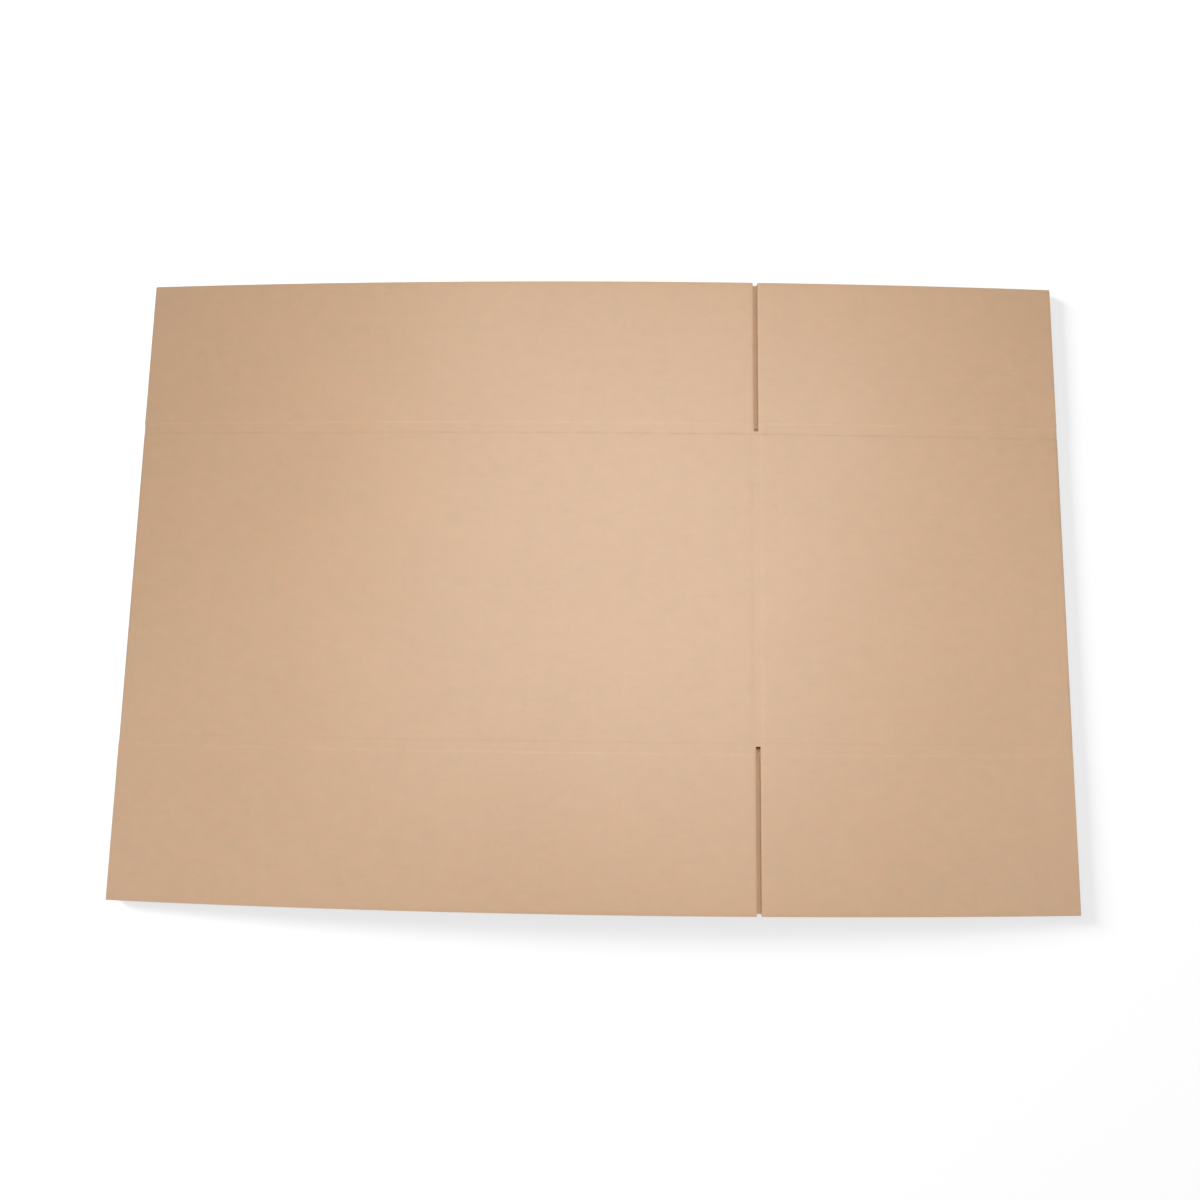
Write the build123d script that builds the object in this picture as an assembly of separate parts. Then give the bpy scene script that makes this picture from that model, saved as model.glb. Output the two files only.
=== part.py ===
from build123d import *
from math import asin, degrees, sqrt
import os

# Flattened regular slotted shipping box, in millimetres.
# It lies as the photo shows it: X runs across the four panels, Y runs along
# the flutes from one row of flap ends to the other, and Z is up.
# One sheet of single wall board is folded at its left and right edge, so the
# box is two layers. Seen from above, the upper layer is a long panel on the
# left and a short panel on the right. Under the left end is the other short
# panel, joined to the other long panel by a glued tab inside.

# Board: two liners on a fluted medium
board_thickness = 3.0
liner_thickness = 0.4
medium_width = 0.7
flute_pitch = 6.6

# Panels, from score line to score line
long_panel = 407.0
short_panel = 199.0
body_height = 201.5
flap_length = 98.5

# Slots between the flaps, and how far they run past the score line
slot_width = 3.0
slot_overrun = 1.5

# Score lines across the board, and the creases along the flutes
score_width = 7.0
score_depth = 0.7
crease_width = 8.0
crease_depth = 0.6
crushed_margin = 2.0

# Glued tab of the joint, pressed thinner than the board
tab_width = 32.0
tab_thickness = 1.6
tab_end_inset = 5.0
tab_end_taper = 9.0
tab_ramp = 4.5
glue_press = 0.1
seam_gap = 3.0
seam_bend = 2.0

# How the folded sheet lies: the edges rest, the middle stands up in a bow
upper_bow = 12.0
tab_clearance = 0.3
fold_gap = 0.3
rest_strip = 14.0

# Folded edges: the board is crushed there and rolls over. The round fold takes
# up board, so the flap edges beside it stand out by a little of a slot's half
fold_wall = 2.2
fold_take_up = 0.4

half_width = (long_panel + short_panel) / 2
half_body = body_height / 2
half_length = half_body + flap_length
slot_end = half_body - slot_overrun
pocket_end = half_body + score_width / 2 + crushed_margin

crease_x = long_panel - half_width
seam_x = short_panel - half_width
upper_edge_height = 2 * board_thickness + fold_gap
layer_gap = tab_thickness + tab_clearance
lower_bow = upper_bow + fold_gap - layer_gap
lower_half_width = half_width - rest_strip


def bow_radius(half_chord, rise):
    """Radius of the circle through both ends of a chord and its raised middle."""
    return (half_chord**2 + rise**2) / (2 * rise)


def bow_height(x, half_chord, rise):
    """Height of that circle above its chord."""
    radius = bow_radius(half_chord, rise)
    return sqrt(radius**2 - x**2) - radius + rise


def bow_slope(x, half_chord, rise):
    """Slope of that circle."""
    radius = bow_radius(half_chord, rise)
    return -x / sqrt(radius**2 - x**2)


def upper_top(x):
    """Height of the upper layer's outer face."""
    return upper_edge_height + bow_height(x, half_width, upper_bow)


def upper_inside(x):
    """Height of the upper layer's inner face."""
    return upper_top(x) - board_thickness


def lower_bottom(x):
    """Height of the lower layer's outer face, flat near both folded edges."""
    if abs(x) >= lower_half_width:
        return 0.0
    return bow_height(x, lower_half_width, lower_bow)


def lower_inside(x):
    """Height of the lower layer's inner face."""
    return lower_bottom(x) + board_thickness


def face_line(height, start, end):
    """One face of a layer in section, from start to end, as one arc."""
    middle = (start + end) / 2
    return ThreePointArc(
        (start, 0, height(start)),
        (middle, 0, height(middle)),
        (end, 0, height(end)),
    )


def lower_line(height, start, end):
    """One face of the lower layer: flat strips by the folds, an arc between."""
    left, right = min(start, end), max(start, end)
    marks = [x for x in (-lower_half_width, lower_half_width) if left < x < right]
    stations = sorted([left, *marks, right], reverse=start > end)
    runs = []
    for near, far in zip(stations, stations[1:]):
        if abs(near + far) / 2 > lower_half_width:
            runs.append(Line((near, 0, height(near)), (far, 0, height(far))))
        else:
            runs.append(face_line(height, near, far))
    return runs


def upright(x, bottom, top):
    """A cut through the board, square to it in section."""
    return Line((x, 0, bottom), (x, 0, top))


def fold_top():
    """Where the fold's upper arc runs into the bow of the upper layer.

    The arc stands upright at the nose of the fold, at half the fold's height,
    and touches the circle of the bow from inside.
    """
    radius = bow_radius(half_width, upper_bow)
    nose_over_centre = radius + upper_edge_height / 2 - upper_top(0)
    spare = radius**2 - half_width**2 - nose_over_centre**2
    arc_radius = spare / (2 * (radius - half_width))
    return (half_width - arc_radius) * radius / (radius - arc_radius)


def fold_roll(side):
    """Outside of a folded edge: two tangent arcs from the floor to the upper face."""
    nose = (side * half_width, 0, upper_edge_height / 2)
    top_x = side * fold_top()
    bottom_x = side * (half_width - upper_edge_height / 2)
    return [
        TangentArc((bottom_x, 0, 0), nose, tangent=(side, 0, 0)),
        TangentArc(nose, (top_x, 0, upper_top(top_x)), tangent=(0, 0, 1)),
    ]


def folded_section():
    """Body of the box in section: one strip of board, folded at both edges."""
    seam_left = seam_x - seam_gap / 2
    seam_right = seam_x + seam_gap / 2
    inner = half_width - fold_wall
    roll_bottom = half_width - upper_edge_height / 2
    roll_top = fold_top()
    edges = [
        *lower_line(lower_bottom, seam_right, roll_bottom),
        *fold_roll(1),
        face_line(upper_top, roll_top, -roll_top),
        *fold_roll(-1),
        *lower_line(lower_bottom, -roll_bottom, seam_left),
        upright(seam_left, lower_bottom(seam_left), lower_inside(seam_left)),
        *lower_line(lower_inside, seam_left, -inner),
        upright(-inner, lower_inside(inner), upper_inside(inner)),
        face_line(upper_inside, -inner, inner),
        upright(inner, lower_inside(inner), upper_inside(inner)),
        *lower_line(lower_inside, inner, seam_right),
        upright(seam_right, lower_bottom(seam_right), lower_inside(seam_right)),
    ]
    return Face(Wire(edges))


def flute_hole(x, height, slope, side):
    """One flute in section: its base on a liner, its point at the other liner."""
    half_core = board_thickness / 2 - liner_thickness
    half_base = flute_pitch / 2 - medium_width
    point = side * (medium_width / 2 - half_core)
    corners = [(-half_base, side * half_core), (half_base, side * half_core), (0, point)]
    turned = [(x + u - v * slope, 0, height + v + u * slope) for u, v in corners]
    return Wire.make_polygon([Vector(*corner) for corner in turned], close=True)


def flute_holes(start, end, middle, slope):
    """All the flutes of one flap: they point up and down by turns."""
    step = flute_pitch / 2
    count = int((end - start - flute_pitch) / step)
    first = (start + end - count * step) / 2
    stations = [first + index * step for index in range(count + 1)]
    sides = [1 if index % 2 else -1 for index in range(count + 1)]
    return [flute_hole(x, middle(x), slope(x), side) for x, side in zip(stations, sides)]


def upper_slope(x):
    return bow_slope(x, half_width, upper_bow)


def lower_slope(x):
    return 0.0 if abs(x) >= lower_half_width else bow_slope(x, lower_half_width, lower_bow)


def flap(start, end, layer):
    """One flap: solid where the score crushes it, fluted out to its end."""
    if layer == "upper":
        outline = [face_line(upper_top, start, end), face_line(upper_inside, end, start)]
        bottom, top, slope = upper_inside, upper_top, upper_slope
    else:
        outline = [*lower_line(lower_inside, start, end), *lower_line(lower_bottom, end, start)]
        bottom, top, slope = lower_bottom, lower_inside, lower_slope
    outline += [upright(x, bottom(x), top(x)) for x in (start, end)]
    wire = Wire(outline)
    holes = flute_holes(start, end, lambda x: (bottom(x) + top(x)) / 2, slope)
    root = extrude(Face(wire), amount=pocket_end - slot_end, dir=(0, 1, 0))
    tip = extrude(Face(wire, holes), amount=half_length - pocket_end, dir=(0, 1, 0))
    scored_root = Pos(0, slot_end, 0) * root - score_tool(layer)
    return scored_root + Pos(0, pocket_end, 0) * tip


def flap_row():
    """The four flaps of one end, between the slots and the folded edges."""
    half_slot = slot_width / 2
    edge = half_width - half_slot + fold_take_up
    return [
        flap(-edge, crease_x - half_slot, "upper"),
        flap(crease_x + half_slot, edge, "upper"),
        flap(-edge, seam_x - half_slot, "lower"),
        flap(seam_x + half_slot, edge, "lower"),
    ]


def tab():
    """Glued tab: from a ramp on the long panel over to the short panel."""
    ramp_end = seam_x + seam_gap / 2 + tab_ramp
    ramp_top = seam_x + seam_gap / 2
    tip = seam_x - seam_gap / 2 - tab_width

    def underside(x):
        return lower_inside(x) - glue_press

    def topside(x):
        return lower_inside(x) + tab_thickness

    edges = [
        face_line(underside, ramp_end, tip),
        upright(tip, underside(tip), topside(tip)),
        face_line(topside, tip, ramp_top),
        Line((ramp_top, 0, topside(ramp_top)), (ramp_end, 0, underside(ramp_end))),
    ]
    half_tab = half_body - tab_end_inset
    blank = extrude(Face(Wire(edges)), amount=half_tab, dir=(0, 1, 0), both=True)
    outline = Polyline(
        (ramp_end, -half_tab),
        (ramp_end, half_tab),
        (ramp_top, half_tab),
        (tip, half_tab - tab_end_taper),
        (tip, tab_end_taper - half_tab),
        (ramp_top, -half_tab),
        close=True,
    )
    return blank & extrude(make_face(outline), amount=2 * upper_top(0))


def groove_radius(width, depth):
    """Radius of a round groove with this width and depth at the surface."""
    return (width**2 / 4 + depth**2) / (2 * depth)


def score_tool(layer):
    """Round groove across a whole layer, bent to the bow of the layer."""
    if layer == "upper":
        half_chord, rise, crown, side = half_width, upper_bow, upper_top(0), 1
    else:
        half_chord, rise, crown, side = lower_half_width, lower_bow, lower_bottom(0), -1
    radius = bow_radius(half_chord, rise)
    groove = groove_radius(score_width, score_depth)
    axis = Axis((0, 0, crown - radius), (0, 1, 0))
    reach = degrees(asin(half_width / radius))
    disc = Plane.YZ * Pos(half_body, crown + side * (groove - score_depth)) * Circle(groove)
    return revolve(disc.rotate(axis, -reach), axis, 2 * reach)


def crease_tool():
    """Round groove along the flutes, between the two visible panels."""
    groove = groove_radius(crease_width, crease_depth)
    centre_height = upper_top(crease_x) + groove - crease_depth
    return Pos(crease_x, 0, centre_height) * Rot(90, 0, 0) * Cylinder(groove, body_height)


def seam_bend_tool():
    """Corner taken off the long panel's edge, where it bends up to the tab."""
    x = seam_x + seam_gap / 2
    height = lower_bottom(x)
    corner = Polyline(
        (x - seam_gap / 2, 0, height - seam_bend),
        (x + seam_bend, 0, height - seam_bend),
        (x + seam_bend, 0, lower_bottom(x + seam_bend)),
        (x, 0, height + seam_bend),
        (x - seam_gap / 2, 0, height + seam_bend),
        close=True,
    )
    return extrude(make_face(corner), amount=half_body, dir=(0, 1, 0), both=True)


def body():
    """The four panels between the score lines, folded round and glued."""
    strip = extrude(folded_section(), amount=slot_end, dir=(0, 1, 0), both=True)
    panels = strip - crease_tool() - seam_bend_tool()
    for layer in ("upper", "lower"):
        tool = score_tool(layer)
        panels = panels - tool - tool.mirror(Plane.XZ)
    return panels + tab()


def flattened_box():
    far_flaps = flap_row()
    near_flaps = [piece.mirror(Plane.XZ) for piece in far_flaps]
    return body() + far_flaps + near_flaps


os.makedirs("parts", exist_ok=True)
export_step(flattened_box(), "parts/flattened_box.step")
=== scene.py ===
from math import asin, pi, radians

import bpy
import numpy as np
from bpy.props import FloatProperty, FloatVectorProperty, IntProperty, PointerProperty
from mathutils import Euler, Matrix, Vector


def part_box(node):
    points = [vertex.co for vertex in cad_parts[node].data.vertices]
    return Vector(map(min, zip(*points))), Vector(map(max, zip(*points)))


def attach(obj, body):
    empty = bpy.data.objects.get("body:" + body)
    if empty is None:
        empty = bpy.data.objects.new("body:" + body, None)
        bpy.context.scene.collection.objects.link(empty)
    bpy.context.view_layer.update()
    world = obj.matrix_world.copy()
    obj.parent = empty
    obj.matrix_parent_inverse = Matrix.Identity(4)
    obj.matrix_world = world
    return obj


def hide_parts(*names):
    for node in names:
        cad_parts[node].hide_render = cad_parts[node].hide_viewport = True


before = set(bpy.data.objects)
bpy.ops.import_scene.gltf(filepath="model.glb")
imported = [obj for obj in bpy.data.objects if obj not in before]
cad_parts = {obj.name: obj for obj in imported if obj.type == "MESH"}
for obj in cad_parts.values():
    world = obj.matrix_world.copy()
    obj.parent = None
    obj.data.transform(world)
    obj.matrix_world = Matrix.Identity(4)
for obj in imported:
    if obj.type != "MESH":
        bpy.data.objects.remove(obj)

bl_info = {
    "name": "Flattened shipping box",
    "version": (1, 0, 0),
    "blender": (4, 5, 0),
    "location": "3D View > Sidebar > Box",
    "description": "A slotted shipping box of single wall board, folded flat",
    "category": "Mesh",
}

NODE = "flattened_box"
BODY = "root"
MM = 0.001
ARC_STEPS = 32
SHARP_EDGE = radians(50)
FIBRE_SEED = 41
FLOOR_DROP = 0.02 * MM
WHITE = (1.0, 1.0, 1.0, 1.0)

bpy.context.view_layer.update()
CAD_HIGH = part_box(NODE)[1]


def length(name, millimetres, description):
    """A size in the settings, given in millimetres and kept in metres."""
    metres = millimetres * MM
    return FloatProperty(name=name, description=description, default=metres, unit="LENGTH", precision=5)


def colour(name, red, green, blue, description):
    """A linear colour in the settings."""
    return FloatVectorProperty(
        name=name, description=description, default=(red, green, blue), subtype="COLOR", min=0.0, max=1.0
    )


def position(name, x, y, z, description):
    """A place in the settings, in metres."""
    return FloatVectorProperty(name=name, description=description, default=(x, y, z), unit="LENGTH")


def share(name, value, description):
    """A plain number in the settings."""
    return FloatProperty(name=name, description=description, default=value, precision=4)


class PanelSizes(bpy.types.PropertyGroup):
    """Panels, slots and flaps of the sheet."""

    long_panel: length("Long panel", 407.0, "Width of the two long panels")
    short_panel: length("Short panel", 199.0, "Width of the two short panels")
    body_height: length("Body height", 201.5, "Distance between the rows of score lines")
    slot_width: length("Slot width", 3.0, "Width of the slots between the flaps")
    slot_overrun: length("Slot overrun", 1.5, "How far a slot runs past the score line")


class BoardSizes(bpy.types.PropertyGroup):
    """The three papers of the board."""

    board: length("Board", 3.0, "Thickness of the whole board")
    paper: length("Liner", 0.3, "Thickness of each flat paper")
    medium: length("Medium", 0.26, "Thickness of the fluted paper")
    pitch: length("Flute pitch", 6.6, "Distance from flute to flute")
    undulation: length("Undulation", 0.12, "Height of the panels' slow waves")


class FoldSizes(bpy.types.PropertyGroup):
    """How the sheet lies, folded at both sides."""

    bow: length("Bow", 12.0, "How far the upper layer's middle stands up")
    fold_gap: length("Fold gap", 0.3, "Gap between the layers next to the folds")
    rest_strip: length("Rest strip", 14.0, "Flat strip under each fold")
    tab_clearance: length("Tab clearance", 0.3, "Gap over the glued tab in the middle")
    fold_wall: length("Fold wall", 2.2, "Board thickness at the nose of a fold")
    crush_reach: length("Crush reach", 4.0, "How far from the nose the board is crushed")
    take_up: length("Take-up", 0.4, "Board that a round fold takes up beside a flap")
    flap_ease: length("Flap ease", 9.0, "Length over which a fold flattens into its flaps")


class ScoreSizes(bpy.types.PropertyGroup):
    """Score lines across the flutes, the crease along them, and edges bent by the knife."""

    score_depth: length("Score depth", 0.17, "Depth of the score lines on the far side")
    near_share: share("Near score", 0.45, "Depth of the near score lines as a share of the far ones")
    score_half: length("Score half width", 3.4, "From the middle of a score line to its wall")
    score_wall: length("Score wall", 1.7, "Width of a score line's wall")
    score_back: length("Score back", 0.9, "Depth of a score line's groove inside")
    back_half: length("Back half width", 1.9, "Half the width of that groove")
    crease_depth: length("Crease depth", 0.24, "Depth of the crease between the panels on top")
    crease_ridge: length("Crease ridge", 0.04, "Height of the ridge beside the crease")
    slot_roll: length("Slot roll", 0.28, "How far the board is bent down beside a slot")
    end_roll: length("End roll", 0.14, "How far the paper is bent down at the flap ends")


class TabSizes(bpy.types.PropertyGroup):
    """The glued tab inside."""

    tab_width: length("Tab width", 32.0, "Width of the tab")
    tab_thickness: length("Tab thickness", 1.6, "Thickness of the pressed tab")
    tab_inset: length("Tab inset", 5.0, "From the score line to the tab's root end")
    tab_taper: length("Tab taper", 9.0, "How much shorter the tab is at its tip, at each end")
    seam_gap: length("Seam gap", 3.0, "Gap between the panels at the joint")
    seam_ramp: length("Seam ramp", 9.5, "Length over which the board bends up into the tab")


class FibreSizes(bpy.types.PropertyGroup):
    """Torn fibres at the cut edges of the slots."""

    per_edge: IntProperty(name="Fibres per edge", description="Fibres on each cut edge", default=130)
    fibre_length: length("Fibre length", 1.2, "Length of a long fibre")
    fibre_width: length("Fibre width", 0.2, "Width of a fibre at its root")
    torn_reach: length("Torn reach", 7.0, "How far the torn edge runs from a closed end")
    torn_growth: share("Torn growth", 1.6, "How much larger fibres get towards a closed end")


class PaperFinish(bpy.types.PropertyGroup):
    """Colours and surface of the papers."""

    face: colour("Outer face", 0.570, 0.363, 0.221, "Colour of the outer paper")
    # Painted light: the inner paper is made lighter than the outer one, so that the slots' floors in shade
    # look brighter.
    inside: colour("Inner face", 0.750, 0.493, 0.307, "Colour of the inner paper")
    core: colour("Medium", 0.600, 0.385, 0.235, "Colour of the fluted paper")
    gloss: share("Roughness", 0.418, "Roughness of the calendered paper")
    bend: share("Index of refraction", 1.576, "Gloss level of the sized paper")
    dull: share("Inner index of refraction", 1.15, "Gloss level of the rough paper inside")
    mottle: share("Mottle", 0.035, "Strength of the paper's cloudiness")
    fleck: share("Flecks", 0.10, "Strength of the dark and pale flecks")
    # Strength of the dark and pale lines outside: painted shade and painted light at the scores, and the
    # lines on the folds.
    wear_and_shading: share("Wear", 0.05, "Strength of the worn lines")
    # Painted shade: a dark colour for a band along the score lines in the papers inside, where the slots'
    # ends lie in shade.
    groove: colour("Groove", 0.260, 0.110, 0.030, "Colour of the crushed grooves inside")


class StageSizes(bpy.types.PropertyGroup):
    """Camera, lamps, floor and the room around them."""

    camera_place: position("Camera", 0.0382, -0.0180, 0.5243, "Where the camera is")
    camera_turn: FloatVectorProperty(
        name="Camera turn", description="Tilt, roll and turn of the camera, from straight down",
        default=(radians(6.63), radians(0.96), radians(0.47)), subtype="EULER",
    )
    focal_pixels: share("Focal length", 800.0, "Focal length in pixels of the image")
    centre_x: share("Centre x", 640.0, "Image column on the camera's axis")
    centre_y: share("Centre y", 520.0, "Image row on the camera's axis")
    lamp_place: position("Lamp", 0.0130, 0.0680, 0.7210, "Middle of the soft lamp overhead")
    lamp_size: length("Lamp size", 836.0, "Side of the soft lamp overhead")
    lamp_watts: share("Lamp power", 6.425, "Power of the soft lamp overhead")
    fill_place: position("Left fill lamp", -0.367, -0.218, 0.249, "Middle of the low lamp on the left")
    fill_watts: share("Left fill power", 0.331, "Power of the low lamp on the left")
    right_place: position("Right fill lamp", 0.529, -0.147, 0.249, "Middle of the low lamp on the right")
    right_watts: share("Right fill power", 0.417, "Power of the low lamp on the right")
    fill_size: length("Fill lamp size", 500.0, "Side of the two low lamps")
    shade_place: position("Shadow lamp", -3.337, 1.707, 1.396, "Middle of the lamp for the shadow")
    shade_size: length("Shadow lamp size", 1120.0, "Side of the lamp for the shadow")
    shade_watts: share("Shadow lamp power", 957.0, "Power of the lamp for the shadow")
    sky: share("Sky", 0.06, "Light from all round")
    floor_tone: share("Floor tone", 0.12, "Grey level of the floor")
    floor_glow: share("Floor glow", 0.693, "White that the floor adds near the box")
    floor_reach: length("Floor reach", 2200.0, "From the floor's middle to its edges")
    fade_start: length("Fade start", 450.0, "Where the floor starts to fade into the room")
    fade_end: length("Fade end", 1400.0, "Where the floor is as white as the room")


GROUPS = {
    "box_panels": PanelSizes,
    "box_board": BoardSizes,
    "box_folds": FoldSizes,
    "box_scores": ScoreSizes,
    "box_tab": TabSizes,
    "box_fibres": FibreSizes,
    "box_finish": PaperFinish,
    "box_stage": StageSizes,
}


def ease(t):
    """Smooth step: 3t^2 - 2t^3 between 0 and 1, and flat outside."""
    t = np.clip(t, 0.0, 1.0)
    return t * t * (3.0 - 2.0 * t)


def ripple(value, waves):
    """Sum of sines, each given as its wavelength, height and phase."""
    return sum(height * np.sin(2 * pi * value / wavelength + phase) for wavelength, height, phase in waves)


def circle_radius(half_chord, rise):
    """Radius of the circle through both ends of a chord and its raised middle."""
    return (half_chord**2 + rise**2) / (2 * rise)


def bow(x, half_chord, rise):
    """Height of that circle over its chord: sqrt(R^2 - x^2) - R + rise."""
    radius = circle_radius(half_chord, rise)
    return np.sqrt(radius**2 - x**2) - radius + rise


class SheetSizes:
    """Sizes of the folded sheet, worked out from the settings and the frame."""

    def __init__(self, scene):
        panels, board, folds, tab = scene.box_panels, scene.box_board, scene.box_folds, scene.box_tab
        self.half_width = (panels.long_panel + panels.short_panel) / 2
        self.half_length = CAD_HIGH.y
        self.crease_x = panels.long_panel - self.half_width
        self.seam_x = panels.short_panel - self.half_width
        self.score_y = panels.body_height / 2
        self.slot_end = self.score_y - panels.slot_overrun
        self.half_slot = panels.slot_width / 2
        self.board = board.board
        self.rise = folds.bow
        self.edge_height = CAD_HIGH.z - folds.bow
        self.nose = self.edge_height / 2
        self.lower_half = self.half_width - folds.rest_strip
        self.lower_rise = folds.bow + folds.fold_gap - tab.tab_thickness - folds.tab_clearance
        self.flap_edge = self.half_width - self.half_slot + folds.take_up

    def roof(self, x):
        """Height of the upper layer's outer face."""
        return self.edge_height + bow(x, self.half_width, self.rise)

    def underside(self, x):
        """Height of the lower layer's outer face: an arch between two flat strips."""
        arch = bow(np.clip(x, -self.lower_half, self.lower_half), self.lower_half, self.lower_rise)
        return np.where(np.abs(x) < self.lower_half, arch, 0.0)

    def fold_arc(self):
        """Radius of a fold's upper arc, and the x where it runs into the roof.

        The arc stands upright at the nose and touches the roof's circle from inside.
        """
        radius = circle_radius(self.half_width, self.rise)
        height = radius + self.nose - self.edge_height - self.rise
        arc = (radius**2 - self.half_width**2 - height**2) / (2 * (radius - self.half_width))
        return arc, (self.half_width - arc) * radius / (radius - arc)


def arc_points(centre_x, centre_z, radius, start, end):
    """Points of an arc in section, its last one left out: centre + radius (cos a, sin a)."""
    angle = np.linspace(start, end, ARC_STEPS + 1)[:-1]
    return np.stack([centre_x + radius * np.cos(angle), centre_z + radius * np.sin(angle)], 1)


def stations(start, end, step):
    """Evenly spaced values from start to end, the last one left out."""
    count = max(2, int(round(abs(end - start) / step)))
    return np.linspace(start, end, count + 1)[:-1]


class StripPath:
    """The sheet's outer face in section, from its free edge under the box to the tab's tip.

    It runs left under the box, round the left fold, over the top, round the
    right fold and back to the seam, where it bends up into the tab. Each
    station has a place on the rolled body and one on the flaps, which stay
    flat beside the folds.
    """

    STEP = 0.4 * MM

    def __init__(self, scene, size):
        tab, nose, wide = scene.box_tab, size.nose, size.half_width
        step = self.STEP
        arc, roof_end = size.fold_arc()
        roof_angle = asin(roof_end / circle_radius(wide, size.rise))
        floor_end = wide - nose
        seam_left = size.seam_x - tab.seam_gap / 2
        ramp_start = seam_left + tab.seam_ramp
        low_turn = nose * pi / 2
        high_turn = arc * (pi / 2 - roof_angle)
        low_stretch = (size.flap_edge - floor_end) / (low_turn - size.half_slot)
        high_stretch = (size.flap_edge - roof_end) / (high_turn - size.half_slot)

        under_left = stations(seam_left, -floor_end, step)
        over = stations(-roof_end, roof_end, step)
        under_right = stations(floor_end, ramp_start, step)
        ramp = stations(ramp_start, seam_left, step)
        tip = np.append(stations(seam_left, seam_left - tab.tab_width, step), seam_left - tab.tab_width)
        climb = size.board * ease((ramp_start - ramp) / tab.seam_ramp)

        low_left = arc_points(-floor_end, nose, nose, -pi / 2, -pi)
        high_left = arc_points(arc - wide, nose, arc, pi, pi / 2 + roof_angle)
        high_right = arc_points(wide - arc, nose, arc, pi / 2 - roof_angle, 0.0)
        low_right = arc_points(floor_end, nose, nose, 0.0, -pi / 2)
        turn = np.linspace(0.0, 1.0, ARC_STEPS + 1)[:-1]

        def pair(x, z):
            return np.stack([x, z + 0.0 * x], 1)

        def flat_low(side, travelled):
            return pair(side * (floor_end + low_stretch * travelled), 0.0)

        def flat_high(side, travelled):
            x = side * (roof_end + high_stretch * travelled)
            return pair(x, size.roof(x))

        body = [
            pair(under_left, size.underside(under_left)),
            low_left,
            high_left,
            pair(over, size.roof(over)),
            high_right,
            low_right,
            pair(under_right, size.underside(under_right)),
            pair(ramp, size.underside(ramp) + climb),
            pair(tip, size.underside(tip) + size.board),
        ]
        flaps = [
            body[0],
            flat_low(-1, low_turn * turn),
            flat_high(-1, high_turn * (1 - turn)),
            body[3],
            flat_high(1, high_turn * turn),
            flat_low(1, low_turn * (1 - turn)),
            body[6],
            pair(ramp, size.underside(ramp)),
            pair(tip, size.underside(tip)),
        ]
        starts = np.cumsum([0] + [len(part) for part in body])
        self.body = np.concatenate(body)
        self.flaps = np.concatenate(flaps)
        legs = np.diff(self.body, axis=0)
        self.s = np.append(0.0, np.cumsum(np.hypot(legs[:, 0], legs[:, 1])))
        self.body_out = self.outward(self.body)
        self.flap_out = self.outward(self.flaps)
        marks = self.s[np.minimum(starts, len(self.s) - 1)]
        self.floor_left, self.nose_left, self.roof_left, self.roof_right = marks[1:5]
        self.nose_right, self.floor_right, self.ramp_start, self.tab_start, self.end = marks[5:10]
        self.over = (over, self.s[starts[3]:starts[4]])
        self.ramp = (-ramp, self.s[starts[7]:starts[8]])

    def outward(self, points):
        """Unit normals: the direction of travel turned a quarter to the left."""
        along = np.stack([np.gradient(points[:, k], self.s) for k in (0, 1)], 1)
        out = np.stack([-along[:, 1], along[:, 0]], 1)
        return out / np.linalg.norm(out, axis=1, keepdims=True)

    def over_at(self, x):
        """Developed length of a place on the upper layer."""
        return float(np.interp(x, *self.over))

    def ramp_at(self, x):
        """Developed length of a place on the ramp up to the tab."""
        return float(np.interp(-x, *self.ramp))

    def section(self, s, flat):
        """Place and outward normal at s, mixed from rolled body to flat flap by flat."""
        def at(values):
            return np.stack([np.interp(s, self.s, values[:, k]) for k in (0, 1)], -1)

        def mixed(rolled, level):
            return at(rolled) + (at(level) - at(rolled)) * flat[..., None]

        place, out = mixed(self.body, self.flaps), mixed(self.body_out, self.flap_out)
        return place, out / np.linalg.norm(out, axis=-1, keepdims=True)


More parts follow.
